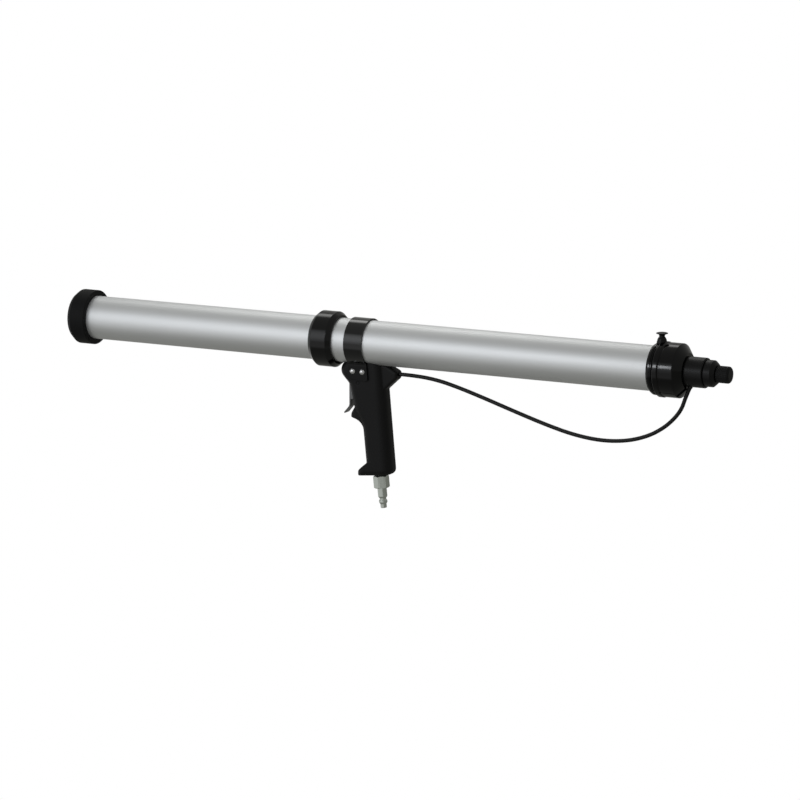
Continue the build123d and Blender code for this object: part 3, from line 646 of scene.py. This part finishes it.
def turned_plug(name, flats):
    """Bored plug, turned to its outline, with six flats milled on."""
    sides = PLUG_SIDES
    across = Vector((0.0, 1.0, 0.0))
    deep = PLUG_WAY.cross(across)
    points = []
    for radius, distance, cut in PLUG_OUTLINE:
        middle = PLUG_SOLE + PLUG_WAY * distance
        for step in range(sides):
            angle = 2 * math.pi * step / sides
            reach = min(radius, hexagon_radius(flats, angle)) if cut else radius
            points.append(middle + (across * math.cos(angle) + deep * math.sin(angle)) * reach)
    faces = []
    rings = len(PLUG_OUTLINE)
    for ring in range(rings):
        here, there = ring * sides, (ring + 1) % rings * sides
        for step in range(sides):
            after = (step + 1) % sides
            faces.append((here + step, here + after, there + after, there + step))
    mesh = bpy.data.meshes.new(name)
    mesh.from_pydata(points, [], faces)
    mesh.shade_smooth()
    mesh.set_sharp_from_angle(angle=PLUG_SHARP)
    return in_scene(bpy.data.objects.new(name, mesh))


class CAULK_OT_inlet(Operator):
    """Make the air plug and finish its washer."""

    bl_idname = "caulk.inlet"
    bl_label = "Air plug"

    def execute(self, context):
        colours = settings().finish
        plug = turned_plug("plug", settings().size.plug_flats)
        plug.data.materials.append(metal("plug_nickel", colours.nickel, roughness=0.16))
        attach(plug, "frame")
        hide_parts("air_plug")
        fibre = moulded(
            "washer_fibre", colours.rubber, roughness=0.6, grain=0.0006, depth=0.00005, level=0.2
        )
        finish(["inlet_washer"], fibre)
        return {"FINISHED"}


class CAULK_OT_inside(Operator):
    """Finish the drive, valve and seals inside the tool, apart from the springs."""

    bl_idname = "caulk.inside"
    bl_label = "Inside"

    def execute(self, context):
        colours = settings().finish
        turned = metal("turned_aluminium", colours.turned, roughness=0.28, streak=(1.0, 0.1, 0.1))
        steel = metal("ground_steel", colours.steel, roughness=0.18, streak=(0.05, 1.0, 1.0))
        brass = metal("turned_brass", colours.brass, roughness=0.26)
        rubber = moulded(
            "seal_rubber", colours.rubber, roughness=0.55, grain=0.0005, depth=0.00003, level=0.3
        )
        fitting = glossy("fitting_plastic", colours.gloss, roughness=0.3, level=0.3)
        finish(["barrel_collar", "guide_head", "drive_piston", "spring_nut"], turned)
        finish(["drive_rod", "piston_nut", "plunger_screw", "adjusting_screw", "valve_stem"], steel)
        finish(["rod_bush", "valve_body", "regulator_poppet", "regulator_piston"], brass)
        finish(["guide_head_seal", "rod_wiper", "piston_seals", "plunger_wiper"], rubber)
        finish(["rear_seal", "bleed_seal", "regulator_seal", "valve_seal"], rubber)
        finish(["hose_fitting_front", "hose_fitting_rear"], fitting)
        plate = moulded(
            "plunger_plate",
            colours.plunger,
            roughness=0.45,
            grain=0.0008,
            depth=0.00004,
            level=0.4,
            dust=0.05,
        )
        finish(["plunger"], plate)
        return {"FINISHED"}


def smooth_curve(name, points, diameter):
    """Round cord along a smooth line with these control points."""
    data = bpy.data.curves.new(name, "CURVE")
    data.dimensions = "3D"
    data.resolution_u = HOSE_STEPS
    data.bevel_depth = diameter / 2
    data.bevel_resolution = HOSE_ROUND_STEPS
    spline = data.splines.new("NURBS")
    spline.points.add(len(points) - 1)
    for point, place in zip(spline.points, points):
        point.co = (*place, 1.0)
    spline.order_u = 3
    spline.use_endpoint_u = True
    return in_scene(bpy.data.objects.new(name, data))


def coil(node, joint, axis):
    """Spring with the shape and finish of a CAD node, put in its place. The share of its length that
    its joint's travel leaves is worked out but not used, so the spring does not shorten.
    """
    rest = frame["nodes"][node]
    spring = in_scene(bpy.data.objects.new(node.replace("spring", "coil"), rest.data.copy()))
    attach(spring, "frame")
    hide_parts(node)
    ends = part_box(node)
    travel = next(max(found["range_m"]) for found in frame["joints"] if found["name"] == joint)
    kept = 1.0 - travel / (ends[1][axis] - ends[0][axis])
    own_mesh(spring)


class CAULK_OT_springs(Operator):
    """Set up the springs of the air release, the valve and the regulator."""

    bl_idname = "caulk.springs"
    bl_label = "Springs"

    def execute(self, context):
        wire = metal("spring_wire", lighter(settings().finish.steel, 0.8), roughness=0.25)
        for node, joint, axis, fixed_end in SPRINGS:
            finish([node], wire)
            coil(node, joint, axis)
        return {"FINISHED"}


class CAULK_OT_hose(Operator):
    """Lay the air hose from the handle to the regulator."""

    bl_idname = "caulk.hose"
    bl_label = "Air hose"

    def execute(self, context):
        diameter = settings().size.hose
        hose = smooth_curve("hose", HOSE_ROUTE, diameter)
        plastic = extruded("hose_plastic", settings().finish.hose, roughness=0.40, level=0.27)
        hose.data.materials.append(plastic)
        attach(hose, "frame")
        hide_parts("air_hose")
        return {"FINISHED"}


def softbox(name, aim, colour, way, distance, width, height, level):
    """Softbox some way off, facing a point, dimmer to its rim. Its level is that of its middle."""
    data = bpy.data.lights.new(name, "AREA")
    data.shape = "RECTANGLE"
    data.size = width
    data.size_y = height
    data.energy = math.pi * width * height * level
    data.color = colour
    data.use_nodes = True
    graph = Graph(data.node_tree)
    spot = graph.node("ShaderNodeNewGeometry", out="Parametric")
    across = graph.node("ShaderNodeSeparateXYZ", None, {"Vector": spot}, "X")
    along = graph.node("ShaderNodeSeparateXYZ", None, {"Vector": spot}, "Y")
    soft = SOFT_PEAK * across * (1.0 - across) * along * (1.0 - along)
    glow = graph.node("ShaderNodeEmission", None, {"Color": WHITE, "Strength": soft})
    graph.node("ShaderNodeOutputLight", None, {"Surface": glow})
    lamp = in_scene(bpy.data.objects.new(name, data))
    lamp.location = aim + Vector(way) * distance
    lamp.rotation_mode = "QUATERNION"
    lamp.rotation_quaternion = (aim - lamp.location).to_track_quat("-Z", "Y")


def room_light(colour):
    """Even soft light from all round, white where the camera sees it and a little so in reflections."""
    world = bpy.data.worlds.new("studio")
    world.use_nodes = True
    bpy.context.scene.world = world
    graph = Graph(world.node_tree)
    even = graph.node("ShaderNodeBackground", None, {"Color": (*colour, 1.0), "Strength": ROOM_LEVEL})
    white = graph.node("ShaderNodeBackground", None, {"Color": WHITE, "Strength": 1.0})
    shown = seen_directly(graph) + reflected(graph) * ROOM_WHITE_MIRRORED
    mixed = graph.node("ShaderNodeMixShader", None, {0: shown, 1: even, 2: white})
    graph.node("ShaderNodeOutputWorld", None, {"Surface": mixed})


class CAULK_OT_stage(Operator):
    """Set up floor, light and camera."""

    bl_idname = "caulk.stage"
    bl_label = "Studio"

    def execute(self, context):
        view = settings().camera
        size = settings().size
        colours = settings().finish
        low, high = cad_box
        level = low.z - size.floor_drop
        floor = bpy.data.meshes.new("floor")
        ways = [(-1, -1), (1, -1), (1, 1), (-1, 1)]
        corners = [(x * FLOOR_REACH, y * FLOOR_REACH, level) for x, y in ways]
        floor.from_pydata(corners, [], [(0, 1, 2, 3)])
        under = (view.aim[0], view.aim[1], level)
        bright = Vector((-math.cos(view.azimuth), -math.sin(view.azimuth), 0.0))
        pale = studio_floor("floor_pale", colours.floor, under, size.pale_to, size.white_from, bright)
        floor.materials.append(pale)
        in_scene(bpy.data.objects.new("floor", floor))
        room_light(colours.room_light)
        middle = (low + high) / 2
        middle.z = 0.0
        rear = Vector((high.x - REAR_CAP_SETBACK, 0.0, 0.0))
        softbox("key", middle, colours.key_light, **KEY_BOX)
        softbox("strip", rear, colours.key_light, **STRIP_BOX)
        softbox("top", middle, colours.top_light, **TOP_BOX)
        data = bpy.data.cameras.new("camera")
        data.lens = view.lens
        data.sensor_width = SENSOR_WIDTH_MM
        camera = in_scene(bpy.data.objects.new("camera", data))
        across = math.cos(view.elevation)
        back = Vector(
            (
                math.sin(view.azimuth) * across,
                -math.cos(view.azimuth) * across,
                math.sin(view.elevation),
            )
        )
        camera.location = Vector(view.aim) + back * view.distance
        camera.rotation_mode = "QUATERNION"
        camera.rotation_quaternion = (-back).to_track_quat("-Z", "Y")
        context.scene.camera = camera
        context.scene.view_settings.view_transform = "Standard"
        return {"FINISHED"}


class CAULK_PT_tool(Panel):
    """Lists the pieces and their settings."""

    bl_idname = "CAULK_PT_tool"
    bl_label = "Caulking tool"
    bl_space_type = "VIEW_3D"
    bl_region_type = "UI"
    bl_category = "Caulking tool"

    def draw(self, context):
        for operator in OPERATORS:
            self.layout.operator(operator.bl_idname)
        tool = settings()
        for group in (tool.finish, tool.size, tool.camera):
            box = self.layout.box()
            for name in group.__annotations__:
                box.prop(group, name)


OPERATORS = (
    CAULK_OT_tubes,
    CAULK_OT_rings,
    CAULK_OT_regulator,
    CAULK_OT_handle,
    CAULK_OT_inlet,
    CAULK_OT_inside,
    CAULK_OT_springs,
    CAULK_OT_hose,
    CAULK_OT_stage,
)
CLASSES = (FinishSettings, SizeSettings, CameraSettings, ToolSettings, *OPERATORS, CAULK_PT_tool)


def register():
    for cls in CLASSES:
        bpy.utils.register_class(cls)
    bpy.types.Scene.caulking_tool = PointerProperty(type=ToolSettings)


def unregister():
    del bpy.types.Scene.caulking_tool
    for cls in reversed(CLASSES):
        bpy.utils.unregister_class(cls)


def main():
    register()
    bpy.ops.caulk.tubes()
    bpy.ops.caulk.rings()
    bpy.ops.caulk.regulator()
    bpy.ops.caulk.handle()
    bpy.ops.caulk.inlet()
    bpy.ops.caulk.inside()
    bpy.ops.caulk.springs()
    bpy.ops.caulk.hose()
    bpy.ops.caulk.stage()


if __name__ == "__main__":
    main()
